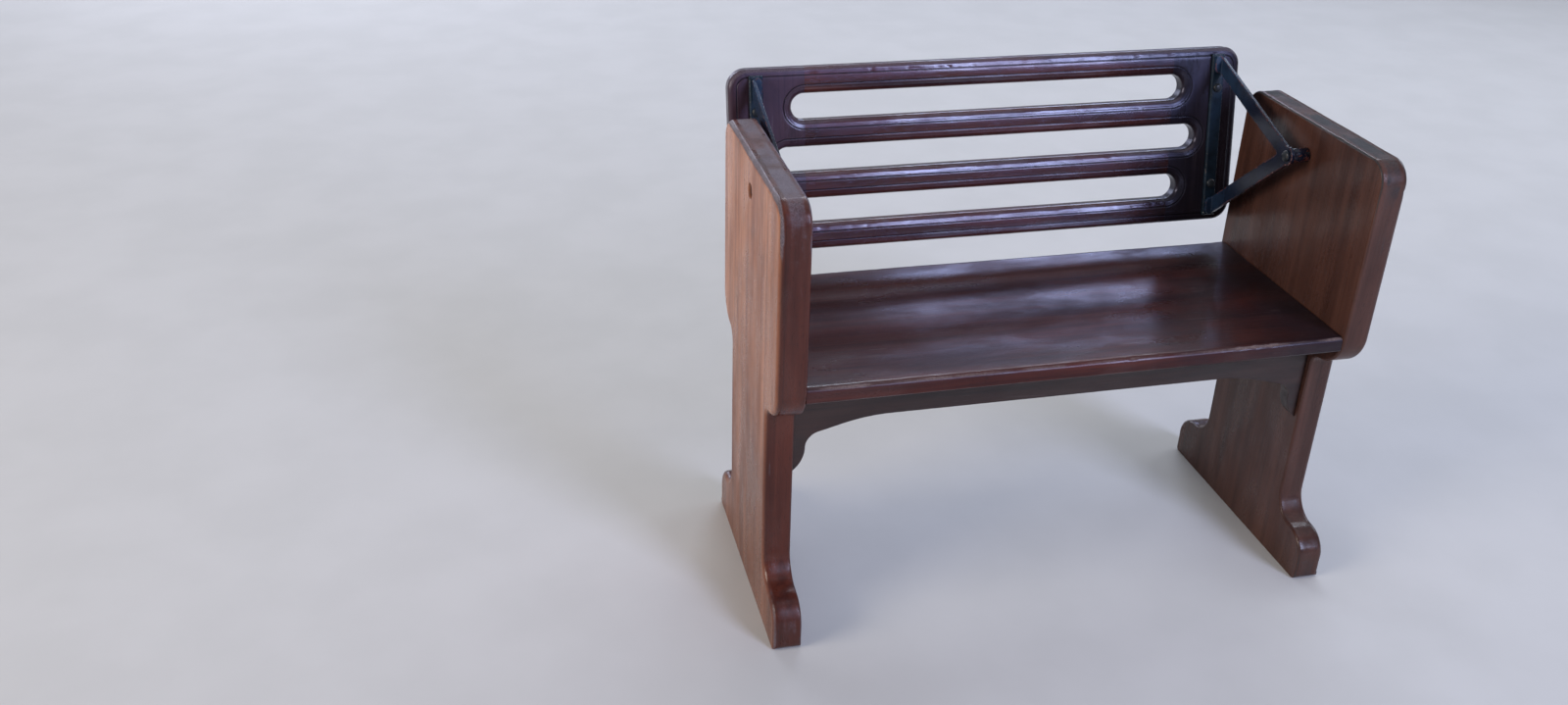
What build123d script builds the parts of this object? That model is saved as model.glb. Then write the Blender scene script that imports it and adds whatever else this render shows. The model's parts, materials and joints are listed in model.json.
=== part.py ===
from build123d import *
from math import acos, asin, cos, degrees, radians, sin, sqrt
import os

# A two-person wooden bench seat of an old passenger coach. Its slatted back swings over
# the top on two steel arms, so that the seat can face either way.
# Millimetres. X runs along the bench from the aisle to the wall, Y from its front to its
# rear, Z up. The origin is on the floor, under the middle of the aisle end board.

# The two end boards, seen from the side
board_thickness = 44.0
board_height = 715.0
board_width = 374.0
top_corner_radius = 35.0
shoulder_height = 435.0
shoulder_round = 56.0
shoulder_cove = 18.0
leg_width = 244.0
foot_width = 412.0
foot_height = 38.0
foot_cove = 42.0
foot_round = 42.0
toe_radius = 10.0
board_outer_round = 9.0
board_inner_round = 4.0

# The seat and what carries it
seat_length = 835.0
seat_top = 440.0
seat_thickness = 25.0
seat_overhang = 62.0
seat_top_round = 8.0
seat_bottom_round = 4.0
apron_thickness = 22.0
apron_depth = 72.0
apron_setback = 10.0
bracket_reach = 20.0
bracket_belly = 40.0
bracket_cove = 26.0
bracket_slope = 15.0
bracket_run = 37.0
bracket_ease = 300.0
cleat_thickness = 25.0
cleat_height = 30.0
bearer_thickness = 30.0
bearer_height = 40.0

# The back, drawn upright in front of its pivot and leaned afterwards
back_lap_aisle = 28.5
back_lap_wall = 5.0
back_height = 290.0
back_thickness = 30.0
back_corner_radius = 30.0
back_rest_gap = 0.3
slot_height = 41.0
slot_spacing = 83.0
outer_slot_inset = 100.0
middle_slot_inset = 72.0
slot_front_round = 10.0
slot_rear_round = 5.0
back_edge_round = 8.0
quirk_width = 1.5
quirk_depth = 1.0
slot_quirk_margin = 13.0
border_quirk_margin = 12.0

# The steel arms and straps
pivot_height = 664.0
pivot_to_back = 218.0
arm_gap = 6.0
arm_thickness = 6.0
arm_width = 25.0
arm_root_height = 115.0
arm_bend_radius = 5.0
eye_radius = 15.0
strap_thickness = 6.0
strap_width = 22.0
strap_lap = 3.0
strap_end_gap = 2.0
strap_chamfer = 2.0
foot_pad_width = 11.0
foot_pad_round = 6.0

# Bolts, nuts and washers
pivot_bolt_diameter = 12.0
pivot_head_diameter = 18.0
pivot_head_height = 4.5
pivot_running_clearance = 0.06
pivot_hole_clearance = 0.2
counterbore_diameter = 24.0
counterbore_depth = 14.0
nut_flats = 18.0
nut_height = 8.0
thread_stand_out = 3.0
washer_diameter = 22.0
strap_bolt_diameter = 8.0
strap_bolt_spacing = 160.0
strap_bolt_head_diameter = 15.0
strap_bolt_head_height = 4.5
bolt_hole_clearance = 0.15
head_round_share = 0.8
side_clearance = 0.3

# How far a point may be from a plane to count as on it, and how far a cut runs past a face
on_plane = 0.01
cut_spare = 1.0

# Places that follow from the sizes above
inner_face = board_thickness / 2
wall_board_x = seat_length + board_thickness
bench_middle = wall_board_x / 2
back_start = inner_face - back_lap_aisle
back_end = inner_face + seat_length + back_lap_wall
back_length = back_end - back_start
back_middle = (back_start + back_end) / 2
seat_underside = seat_top - seat_thickness
seat_depth = leg_width + 2 * seat_overhang
apron_face = leg_width / 2 - apron_setback
apron_inner_face = apron_face - apron_thickness
arm_outer_face = inner_face + arm_gap
strap_face = pivot_to_back - strap_thickness
strap_start = arm_outer_face - strap_lap
strap_middle = strap_start + strap_width / 2
stile_width = outer_slot_inset + slot_height / 2


def ogee(outer, inner, level, round_radius, cove_radius, way):
    """Two arcs from a vertical edge at outer to a vertical edge at inner: a convex one,
    then a concave one. way is -1 for a curve that goes down and 1 for one that goes up."""
    swing = acos(1 - (outer - inner) / (round_radius + cove_radius))
    end_level = level + way * (round_radius + cove_radius) * sin(swing)

    def on_round(angle):
        return (outer - round_radius * (1 - cos(angle)), level + way * round_radius * sin(angle))

    def on_cove(angle):
        return (inner + cove_radius * (1 - cos(angle)), end_level - way * cove_radius * sin(angle))

    convex = ThreePointArc(on_round(0), on_round(swing / 2), on_round(swing))
    concave = ThreePointArc(on_cove(swing), on_cove(swing / 2), on_cove(0))
    return [convex, concave], end_level


def domed_head(diameter, height):
    """A bolt head that stands on the XY plane: a flat disc with a well rounded top edge."""
    head = Cylinder(diameter / 2, height, align=(Align.CENTER, Align.CENTER, Align.MIN))
    return fillet(head.edges().sort_by(Axis.Z)[-1], height * head_round_share)


def along_x(shape, start, level, toward_wall=True):
    """Turns a shape that was drawn up the Z axis so that it lies along X from start."""
    turn = 90 if toward_wall else -90
    return Pos(start, 0, level) * Rot(0, turn, 0) * shape


# End boards. One outline serves both: a wide upper part, a shoulder under the seat, a
# narrower leg and a foot that spreads again. The outer face's rim is well rounded, the
# inner face's is only eased, and the sole keeps its sharp edges.
foot_curve, leg_bottom = ogee(foot_width / 2, leg_width / 2, foot_height, foot_round, foot_cove, 1)
shoulder_curve, leg_top = ogee(
    board_width / 2, leg_width / 2, shoulder_height, shoulder_round, shoulder_cove, -1
)
half_foot = foot_width / 2
half_board = board_width / 2
toe_middle = toe_radius * (1 - sqrt(0.5))
corner_middle = top_corner_radius * (1 - sqrt(0.5))
half_outline = Curve() + [
    Line((0, 0), (half_foot - toe_radius, 0)),
    ThreePointArc(
        (half_foot - toe_radius, 0),
        (half_foot - toe_middle, toe_middle),
        (half_foot, toe_radius),
    ),
    Line((half_foot, toe_radius), (half_foot, foot_height)),
    *foot_curve,
    Line((leg_width / 2, leg_bottom), (leg_width / 2, leg_top)),
    *shoulder_curve,
    Line((half_board, shoulder_height), (half_board, board_height - top_corner_radius)),
    ThreePointArc(
        (half_board, board_height - top_corner_radius),
        (half_board - corner_middle, board_height - corner_middle),
        (half_board - top_corner_radius, board_height),
    ),
    Line((half_board - top_corner_radius, board_height), (0, board_height)),
]
board_outline = make_face(half_outline + mirror(half_outline, about=Plane.YZ))


def end_board(outer_side):
    """An end board about X = 0, with the pivot's hole and, in its outer face, the pit for
    the nut. outer_side is -1 for the aisle board and 1 for the wall board."""
    board = extrude(Plane.YZ * board_outline, amount=board_thickness / 2, both=True)
    for side, radius in ((outer_side, board_outer_round), (-outer_side, board_inner_round)):
        rim = board.edges().filter_by(
            lambda edge: abs(edge.center().X - side * inner_face) < on_plane
            and edge.center().Z > on_plane
        )
        board = fillet(rim, radius)
    hole = Cylinder(pivot_bolt_diameter / 2 + pivot_hole_clearance, 2 * board_thickness)
    pit = Cylinder(counterbore_diameter / 2, 2 * counterbore_depth)
    board -= Pos(0, 0, pivot_height) * Rot(0, 90, 0) * hole
    return board - Pos(outer_side * inner_face, 0, pivot_height) * Rot(0, 90, 0) * pit


end_board_aisle = end_board(-1)
end_board_wall = Pos(wall_board_x, 0, 0) * end_board(1)

# The seat is one wide plank between the end boards, its long edges rounded.
seat_board = Pos(bench_middle, 0, seat_top - seat_thickness / 2) * Box(
    seat_length, seat_depth, seat_thickness
)
long_edges = seat_board.edges().filter_by(Axis.X)
seat_board = fillet(long_edges.group_by(Axis.Z)[-1], seat_top_round)
long_edges = seat_board.edges().filter_by(Axis.X)
seat_board = fillet(long_edges.group_by(Axis.Z)[0], seat_bottom_round)

# Aprons. Each is a board on edge under the seat, whose ends drop into a bracket against the
# leg: a belly, a cove, a short slope and a long easing into the straight lower edge.
belly_radius = (bracket_reach**2 + bracket_belly**2) / (2 * bracket_reach)
belly_sweep = degrees(acos(1 - bracket_reach / belly_radius))
slope_angle = radians(bracket_slope)
cove_sweep = radians(90 - bracket_slope)
apron_bottom = seat_underside - apron_depth
ease_start_z = apron_bottom - bracket_ease * (1 - cos(slope_angle))
slope_start_z = ease_start_z - bracket_run * sin(slope_angle)
belly_top_z = slope_start_z - bracket_cove * sin(cove_sweep)
bracket_tip_z = belly_top_z - bracket_belly
slope_start_x = bracket_reach + bracket_cove * (1 - cos(cove_sweep))
ease_start_x = slope_start_x + bracket_run * cos(slope_angle)
ease_end_x = ease_start_x + bracket_ease * sin(slope_angle)


def belly_point(share):
    angle = radians(belly_sweep * share)
    return (bracket_reach - belly_radius * (1 - cos(angle)), belly_top_z - belly_radius * sin(angle))


def cove_point(share):
    angle = cove_sweep * share
    return (
        bracket_reach + bracket_cove * (1 - cos(angle)),
        belly_top_z + bracket_cove * sin(angle),
    )


def ease_point(share):
    angle = slope_angle * share
    return (
        ease_end_x - bracket_ease * sin(angle),
        apron_bottom - bracket_ease * (1 - cos(angle)),
    )


half_apron = Curve() + [
    Line((seat_length / 2, seat_underside), (0, seat_underside)),
    Line((0, seat_underside), (0, bracket_tip_z)),
    ThreePointArc((0, bracket_tip_z), belly_point(0.5), belly_point(0)),
    ThreePointArc(cove_point(0), cove_point(0.5), cove_point(1)),
    Line(cove_point(1), ease_point(1)),
    ThreePointArc(ease_point(1), ease_point(0.5), ease_point(0)),
    Line(ease_point(0), (seat_length / 2, apron_bottom)),
]
apron_mirror = Plane.YZ.offset(seat_length / 2)
apron_outline = make_face(half_apron + mirror(half_apron, about=apron_mirror))
apron_board = Pos(inner_face, 0, 0) * extrude(Plane.XZ * apron_outline, amount=apron_thickness)
apron_front = Pos(0, -apron_inner_face, 0) * apron_board
apron_rear = Pos(0, apron_face, 0) * apron_board

# Under the seat a cleat runs along each end board, and a bearer crosses in the middle.
cleat_length = 2 * apron_inner_face
cleat = Box(cleat_thickness, cleat_length, cleat_height, align=(Align.MIN, Align.CENTER, Align.MAX))
cleat_aisle = Pos(inner_face, 0, seat_underside) * cleat
cleat_wall = Pos(inner_face + seat_length - cleat_thickness, 0, seat_underside) * cleat
bearer = Box(
    bearer_thickness, cleat_length, bearer_height, align=(Align.CENTER, Align.CENTER, Align.MAX)
)
seat_bearer = Pos(bench_middle, 0, seat_underside) * bearer

# The back is drawn as one upright panel with three long slots, and then cut at its joints
# into two stiles and four rails. The middle slot reaches further into the stiles.
panel_middle_y = pivot_to_back + back_thickness / 2
panel = Pos(back_middle, panel_middle_y, 0) * Box(back_length, back_thickness, back_height)
panel = fillet(panel.edges().filter_by(Axis.Y), back_corner_radius)
outer_rims = panel.faces().filter_by(Axis.Y).edges()
panel = fillet(outer_rims, back_edge_round)
slot_table = [  # place above the pivot, inset of the slot's round end from the back's end
    (slot_spacing, outer_slot_inset),
    (0.0, middle_slot_inset),
    (-slot_spacing, outer_slot_inset),
]
for slot_z, slot_inset in slot_table:
    slot_face = SlotOverall(back_length - 2 * slot_inset, slot_height)
    slot_prism = extrude(Plane.XZ * slot_face, amount=back_thickness, both=True)
    panel -= Pos(back_middle, panel_middle_y, slot_z) * slot_prism
half_opening = back_length / 2 - middle_slot_inset + cut_spare
opening_top = slot_spacing + slot_height / 2 + cut_spare
rear_level = pivot_to_back + back_thickness
for level, radius in ((pivot_to_back, slot_front_round), (rear_level, slot_rear_round)):
    slot_rims = panel.edges().filter_by(
        lambda edge: abs(edge.center().X - back_middle) < half_opening
        and abs(edge.center().Z) < opening_top
        and abs(edge.center().Y - level) < on_plane
    )
    panel = fillet(slot_rims, radius)


def quirk(outer_shape, inner_shape, level):
    """A shallow groove between two outlines, cut into the face of the back at level."""
    ring = extrude(Plane.XZ * (outer_shape - inner_shape), amount=quirk_depth, both=True)
    return Pos(back_middle, level, 0) * ring


# A quirk, the fine groove that frames a moulding, runs round each slot on the front, and
# another runs inside the outer edge of both faces.
for slot_z, slot_inset in slot_table:
    slot_length = back_length - 2 * slot_inset
    ring_shapes = []
    for margin in (slot_quirk_margin + quirk_width, slot_quirk_margin):
        ring_shapes.append(SlotOverall(slot_length + 2 * margin, slot_height + 2 * margin))
    panel -= Pos(0, 0, slot_z) * quirk(*ring_shapes, pivot_to_back)
border_shapes = []
for margin in (border_quirk_margin, border_quirk_margin + quirk_width):
    border_shapes.append(RectangleRounded(
        back_length - 2 * margin, back_height - 2 * margin, back_corner_radius - margin
    ))
for face_level in (pivot_to_back, rear_level):
    panel -= quirk(*border_shapes, face_level)

bolt_levels = (strap_bolt_spacing / 2, -strap_bolt_spacing / 2)
strap_middles = (strap_middle, 2 * back_middle - strap_middle)
bolt_hole = Rot(90, 0, 0) * Cylinder(strap_bolt_diameter / 2 + bolt_hole_clearance, 4 * back_thickness)
for bolt_x in strap_middles:
    for bolt_z in bolt_levels:
        panel -= Pos(bolt_x, panel_middle_y, bolt_z) * bolt_hole


def panel_part(start_x, end_x, low_z, high_z):
    """The piece of the panel between two upright cuts and two level ones."""
    keep = Box(end_x - start_x, 3 * back_thickness, high_z - low_z)
    return panel & Pos((start_x + end_x) / 2, panel_middle_y, (low_z + high_z) / 2) * keep


stile_seam = back_start + stile_width
far_seam = 2 * back_middle - stile_seam
cuts = [back_height, slot_spacing, 0.0, -slot_spacing, -back_height]
upright = {
    "back_stile_aisle": panel_part(back_start - cut_spare, stile_seam, -back_height, back_height),
    "back_stile_wall": panel_part(far_seam, back_end + cut_spare, -back_height, back_height),
}
for number in range(4):
    rail = panel_part(stile_seam, far_seam, cuts[number + 1], cuts[number])
    upright[f"back_rail_{number + 1}"] = rail

# A steel strap is bolted down each end of the back's front face.
strap_height = back_height - 2 * (back_edge_round + strap_end_gap)
strap = Box(
    strap_width, strap_thickness, strap_height, align=(Align.MIN, Align.MIN, Align.CENTER)
)
strap = chamfer(strap.faces().sort_by(Axis.Y)[0].edges(), strap_chamfer)
strap = Pos(strap_start, strap_face, 0) * strap
for bolt_z in bolt_levels:
    strap -= Pos(strap_middle, panel_middle_y, bolt_z) * bolt_hole

# A flat bar bent to a V carries the back: its point is the eye on the pivot, and each leg
# ends in a foot that is turned flat against the strap.
root_y = strap_face - arm_thickness
leg_angle_cos = root_y / sqrt(root_y**2 + arm_root_height**2)
leg_angle_sin = arm_root_height / sqrt(root_y**2 + arm_root_height**2)
half_arm = arm_width / 2
leg_end_rise = half_arm / leg_angle_cos
leg_slope = arm_root_height / root_y
rise_at_strap = leg_slope * strap_face
crotch_y = leg_end_rise / leg_slope
arm_points = [
    (-half_arm * leg_angle_sin, half_arm * leg_angle_cos),
    (strap_face, rise_at_strap + leg_end_rise),
    (strap_face, rise_at_strap - leg_end_rise),
    (crotch_y, 0),
    (strap_face, leg_end_rise - rise_at_strap),
    (strap_face, -rise_at_strap - leg_end_rise),
    (-half_arm * leg_angle_sin, -half_arm * leg_angle_cos),
]
arm_outline = make_face(Polyline(*arm_points, close=True)) + Circle(eye_radius)
arm = Pos(arm_outer_face, 0, 0) * extrude(Plane.YZ * arm_outline, amount=arm_thickness)
for side in (1, -1):
    foot_pad = Box(
        arm_thickness + foot_pad_width,
        arm_thickness,
        2 * leg_end_rise,
        align=(Align.MIN, Align.MAX, Align.CENTER),
    )
    foot_pad = fillet(foot_pad.edges().filter_by(Axis.Y).group_by(Axis.X)[-1], foot_pad_round)
    arm += Pos(arm_outer_face, strap_face, side * rise_at_strap) * foot_pad
inner_bends = arm.edges().filter_by(
    lambda edge: abs(edge.center().X - arm_outer_face - arm_thickness) < on_plane
    and abs(edge.center().Y - root_y) < on_plane
)
arm = fillet(inner_bends, arm_bend_radius)
outer_bends = arm.edges().filter_by(
    lambda edge: abs(edge.center().X - arm_outer_face) < on_plane
    and abs(edge.center().Y - strap_face) < on_plane
)
arm = fillet(outer_bends, arm_bend_radius)
eye_hole = Cylinder(pivot_bolt_diameter / 2 + pivot_running_clearance, 4 * arm_thickness)
arm -= Pos(arm_outer_face, 0, 0) * Rot(0, 90, 0) * eye_hole

# Each strap bolt has a domed head on the strap and another on the rear face.
bolt_length = back_thickness + strap_thickness
bolt_pair = []
for bolt_z in bolt_levels:
    shank = Cylinder(strap_bolt_diameter / 2, bolt_length)
    shank = Pos(0, 0, bolt_length / 2) * shank
    head = domed_head(strap_bolt_head_diameter, strap_bolt_head_height)
    bolt = shank + Pos(0, 0, bolt_length) * head + Rot(180, 0, 0) * head
    bolt_pair.append(Pos(strap_middle, strap_face, bolt_z) * Rot(-90, 0, 0) * bolt)
strap_bolts = Compound(bolt_pair)

other_side = Plane.YZ.offset(back_middle)
upright["strap_aisle"] = strap
upright["strap_wall"] = mirror(strap, about=other_side)
upright["arm_aisle"] = arm
upright["arm_wall"] = mirror(arm, about=other_side)
upright["strap_bolts_aisle"] = strap_bolts
upright["strap_bolts_wall"] = mirror(strap_bolts, about=other_side)

# The back leans until its rounded lower edge comes to rest on the edges of the end boards.
edge_centre_out = pivot_to_back + back_edge_round
edge_centre_down = back_height / 2 - back_edge_round
edge_centre_reach = board_width / 2 + back_rest_gap + back_edge_round
edge_centre_radius = sqrt(edge_centre_out**2 + edge_centre_down**2)
back_lean = degrees(
    acos(edge_centre_reach / edge_centre_radius) - asin(edge_centre_down / edge_centre_radius)
)
lean_back = Pos(0, 0, pivot_height) * Rot(-back_lean, 0, 0)

# Pivot bolts. Each head is on the arm's inner side, and the nut is sunk in the end board.
nut_seat = inner_face - counterbore_depth
bolt_end = nut_seat + nut_height + thread_stand_out
pivot_sides = [  # name, middle of the end board, its outer side, gap from board to arm
    ("aisle", 0.0, -1, arm_gap),
    ("wall", wall_board_x, 1, arm_gap + back_lap_aisle - back_lap_wall),
]
bench_hardware = {}
for side_name, board_x, outer_side, gap in pivot_sides:
    toward_wall = outer_side < 0
    inward = -outer_side
    shank_start = board_x + outer_side * bolt_end
    shank_length = bolt_end + inner_face + gap + arm_thickness + side_clearance
    shank = Cylinder(
        pivot_bolt_diameter / 2, shank_length, align=(Align.CENTER, Align.CENTER, Align.MIN)
    )
    head = domed_head(pivot_head_diameter, pivot_head_height)
    bolt = shank + Pos(0, 0, shank_length) * head
    spacer_length = gap - side_clearance
    spacer = Cylinder(
        washer_diameter / 2, spacer_length, align=(Align.CENTER, Align.CENTER, Align.MIN)
    )
    bore = Cylinder(pivot_bolt_diameter / 2 + pivot_hole_clearance, 4 * board_thickness)
    spacer -= bore
    nut = extrude(RegularPolygon(nut_flats / 2, 6, major_radius=False), amount=nut_height)
    nut -= bore
    nut_start = board_x + outer_side * (nut_seat + nut_height)
    spacer_start = board_x + inward * inner_face
    bench_hardware[f"pivot_bolt_{side_name}"] = along_x(bolt, shank_start, pivot_height, toward_wall)
    bench_hardware[f"pivot_nut_{side_name}"] = along_x(nut, nut_start, pivot_height, toward_wall)
    bench_hardware[f"pivot_spacer_{side_name}"] = along_x(
        spacer, spacer_start, pivot_height, toward_wall
    )

pieces = {
    "end_board_aisle": end_board_aisle,
    "end_board_wall": end_board_wall,
    "seat_board": seat_board,
    "apron_front": apron_front,
    "apron_rear": apron_rear,
    "cleat_aisle": cleat_aisle,
    "cleat_wall": cleat_wall,
    "seat_bearer": seat_bearer,
    **bench_hardware,
}
for name, piece in upright.items():
    pieces[name] = lean_back * piece

os.makedirs("parts", exist_ok=True)
for name, piece in pieces.items():
    export_step(piece, f"parts/{name}.step")
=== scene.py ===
import json
from math import acos, cos, degrees, pi, radians, sin

import bmesh
import bpy
import numpy as np
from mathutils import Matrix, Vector
from mathutils.geometry import tessellate_polygon


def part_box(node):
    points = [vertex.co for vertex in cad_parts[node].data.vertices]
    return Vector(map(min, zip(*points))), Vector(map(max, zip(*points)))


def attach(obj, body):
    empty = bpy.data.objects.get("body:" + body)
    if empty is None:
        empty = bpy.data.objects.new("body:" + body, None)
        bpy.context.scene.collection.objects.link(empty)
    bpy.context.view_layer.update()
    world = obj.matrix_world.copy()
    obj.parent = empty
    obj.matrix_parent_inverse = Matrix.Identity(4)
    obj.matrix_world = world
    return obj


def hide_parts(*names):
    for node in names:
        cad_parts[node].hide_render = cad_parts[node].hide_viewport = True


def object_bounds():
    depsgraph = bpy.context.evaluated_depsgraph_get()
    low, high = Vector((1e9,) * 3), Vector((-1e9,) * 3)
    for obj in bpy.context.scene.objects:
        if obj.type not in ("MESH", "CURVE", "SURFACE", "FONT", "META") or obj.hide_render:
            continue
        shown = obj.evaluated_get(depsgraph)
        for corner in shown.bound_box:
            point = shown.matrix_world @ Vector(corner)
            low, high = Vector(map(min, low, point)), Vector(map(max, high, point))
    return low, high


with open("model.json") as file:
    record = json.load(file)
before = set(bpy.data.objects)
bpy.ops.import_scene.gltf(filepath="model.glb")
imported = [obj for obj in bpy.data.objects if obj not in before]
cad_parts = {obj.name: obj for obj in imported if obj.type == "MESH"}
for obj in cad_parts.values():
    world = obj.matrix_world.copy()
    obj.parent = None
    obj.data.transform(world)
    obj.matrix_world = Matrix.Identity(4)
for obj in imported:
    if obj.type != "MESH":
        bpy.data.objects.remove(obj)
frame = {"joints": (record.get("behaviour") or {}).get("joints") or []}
solid_low, solid_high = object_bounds()

# End boards
# Two solid boards of red-brown hardwood, sawn to one outline with a shoulder and an ogee foot.
# The outer arris is well rounded and the inner one only eased. Hands and coats have rubbed the
# tops grey, and the pivot's nut sits in a round pit in the outer face.

SHOULDER_HEIGHT = 0.435
SHOULDER_ROUND = 0.056
SHOULDER_COVE = 0.018
LEG_HALF_WIDTH = 0.122
FOOT_HEIGHT = 0.038
FOOT_COVE = 0.042
FOOT_ROUND = 0.042
TOE_RADIUS = 0.010
BOARD_HALF_WIDTH = 0.187
TOP_CORNER = 0.035
OUTER_ROUND = 0.009
INNER_ROUND = 0.004
PIT_RADIUS = 0.012
PIT_DEPTH = 0.014
BOLT_HOLE_RADIUS = 0.0062
GROOVE_ROWS = 6
ROUND_ROWS = 9
STEP, FINE_STEP, COARSE_STEP = 0.003, 0.002, 0.02  # between the points of a path
LONG_RUB_SPAN, LONG_RUB_DEPTH = 0.055, 0.0007
NICK_SPAN, NICK_DEPTH = 0.0085, 0.0011
FINE_NICK_SPAN, FINE_NICK_DEPTH = 0.004, 0.0005
PATCH_SPAN = 0.021
WEAR_SHOWN = 260  # how much of the worn finish shows for each metre that a place has sunk


def smooth_noise(points, size, seed):
    """Random numbers from 0 to 1 at the corners of a lattice with cells of that size, blended
    across each cell by 3t^2 - 2t^3."""
    cell = np.asarray(points) / size
    corner = np.floor(cell).astype(np.int64)
    share = cell - corner
    share = share * share * (3 - 2 * share)
    total = np.zeros(cell.shape[:-1])
    for step in np.ndindex(2, 2, 2):
        mixed = ((corner + step) * (73856093, 19349663, 83492791)).sum(-1) + seed * 2654435761
        mixed = mixed & 0xFFFFFFFF
        mixed = ((mixed ^ (mixed >> 15)) * 2246822519) & 0xFFFFFFFF
        mixed = ((mixed ^ (mixed >> 13)) * 3266489917) & 0xFFFFFFFF
        value = ((mixed >> 9) & 0xFFFF) / 65535.0
        weight = np.where(step, share, 1 - share).prod(-1)
        total += value * weight
    return total


def ease(value, low, high):
    """0 below low, 1 above high, and 3t^2 - 2t^3 between."""
    t = np.clip((value - low) / (high - low), 0, 1)
    return t * t * (3 - 2 * t)


def straight(start, end, step=STEP):
    """Points on a line, and the normal on the left of its direction at each."""
    start, end = np.array(start, float), np.array(end, float)
    length = np.linalg.norm(end - start)
    share = np.linspace(0, 1, max(2, int(length / step) + 1))[:, None]
    way = (end - start) / length
    return start + share * (end - start), np.tile((-way[1], way[0]), (len(share), 1))


def arc(centre, radius, start, end, step=STEP):
    """Points on a circle from one angle to another in degrees, and the normal on the left of
    the way round: toward the centre when the angle grows, and away from it when it falls."""
    count = max(7, int(radius * radians(abs(end - start)) / step))
    angle = np.radians(np.linspace(start, end, count))
    spoke = np.stack([np.cos(angle), np.sin(angle)], -1)
    return np.array(centre) + radius * spoke, spoke * (-1 if end > start else 1)


def run_together(*stretches):
    """One path from several that follow each other, without their shared points."""
    points = [stretches[0][0]] + [stretch[0][1:] for stretch in stretches[1:]]
    normals = [stretches[0][1]] + [stretch[1][1:] for stretch in stretches[1:]]
    return np.concatenate(points), np.concatenate(normals)


def without_last(path):
    """A closed path without its last point, which is its first again."""
    return path[0][:-1], path[1][:-1]


def cornered_path(corners, step):
    """The closed path of straight sides with these corners, from the first one round."""
    ends = corners[1:] + corners[:1]
    return without_last(run_together(*[straight(a, b, step) for a, b in zip(corners, ends)]))


def mirrored_on(half, axis):
    """A closed path from a half that starts and ends on the mirror line: the half, and then
    its mirror image followed back. axis is the coordinate that changes its sign."""
    flip = np.ones(2)
    flip[axis] = -1
    return tuple(np.concatenate([row, row[-2:0:-1] * flip]) for row in half)


def section_of_edge(
    thickness, front_round, back_round, flat=0.3, front_quirk=None, back_quirk=None
):
    """The section of a board's edge, from its front face over two quarter circles to its back:
    rows of inset from the outline, depth below the front, the way into the wood as inset and
    depth, and how much the place is rubbed, or collects dirt where that is below zero. A quirk
    is (margin, width, depth) of a groove, and flat is the wear between the rounds."""
    groove = (
        (1.9, 0, 0), (1.0, 0, 0.1), (0.85, 1, -0.7), (0.15, 1, -0.7), (0.0, 0, 0.25), (-0.5, 0, 0)
    )

    def rows_from(face, way, radius, quirk):
        rows = []
        if quirk:
            margin, width, depth = quirk
            for share, sunk, rub in groove:
                rows.append((margin + share * width, face + way * sunk * depth, 0, way, rub))
        for a in np.radians(np.linspace(0, 90, ROUND_ROWS)):
            depth = face + way * radius * (1 - cos(a))
            rows.append((radius * (1 - sin(a)), depth, sin(a), way * cos(a), sin(2 * a) ** 2))
        return rows

    rows = rows_from(0, 1, front_round, front_quirk)
    for share in (0.2, 0.4, 0.6, 0.8):
        rows.append((0, front_round + share * (thickness - front_round - back_round), 1, 0, flat))
    return np.array(rows + rows_from(thickness, -1, back_round, back_quirk)[::-1], float)


def worn_edge(path, section, rub, seed, run_out=1.0, turned_about=None):
    """A ribbon of points: point (i, j) is path point i moved by inset j along the normal, at
    depth j. Each sinks into the wood where long rubs and short nicks, both from noise, meet an
    exposed place. rub scales the wear and run_out the rounding, all over or for each point of
    the path. Where a path is measured from the far end of a length, turned_about is that
    length, so that the noise runs on from the next piece."""
    points, normals = path
    inset, depth, way_in, way_deep, exposed = section.T
    scale = np.broadcast_to(run_out, len(points))[:, None]
    thickness = depth.max()
    corner_depth = np.where(depth < thickness / 2, 0, thickness)
    insets = inset * scale
    depths = corner_depth + (depth - corner_depth) * scale
    place = np.concatenate([
        points[:, None] + insets[..., None] * normals[:, None], depths[..., None]
    ], -1)
    spot = place if turned_about is None else place * (-1, 1, 1) + (turned_about, 0, 0)
    long_rub = smooth_noise(spot * (1, 1, 0.6), LONG_RUB_SPAN, seed) ** 2 * LONG_RUB_DEPTH
    nick = ease(smooth_noise(spot, NICK_SPAN, seed + 1), 0.70, 0.95) * NICK_DEPTH
    fine_nick = ease(smooth_noise(spot, FINE_NICK_SPAN, seed + 2), 0.72, 0.95) * FINE_NICK_DEPTH
    amount = np.clip(exposed, 0, 1) * np.reshape(rub, (-1, 1))
    sunk = amount * (long_rub + nick + fine_nick)
    place[..., :2] += (sunk * way_in)[..., None] * normals[:, None]
    place[..., 2] += sunk * way_deep
    patchy = 0.40 + 0.80 * smooth_noise(spot, PATCH_SPAN, seed + 3)
    worn = np.clip(amount * patchy + sunk * WEAR_SHOWN, 0, 1) + np.clip(exposed, -1, 0)
    return place, worn


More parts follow.
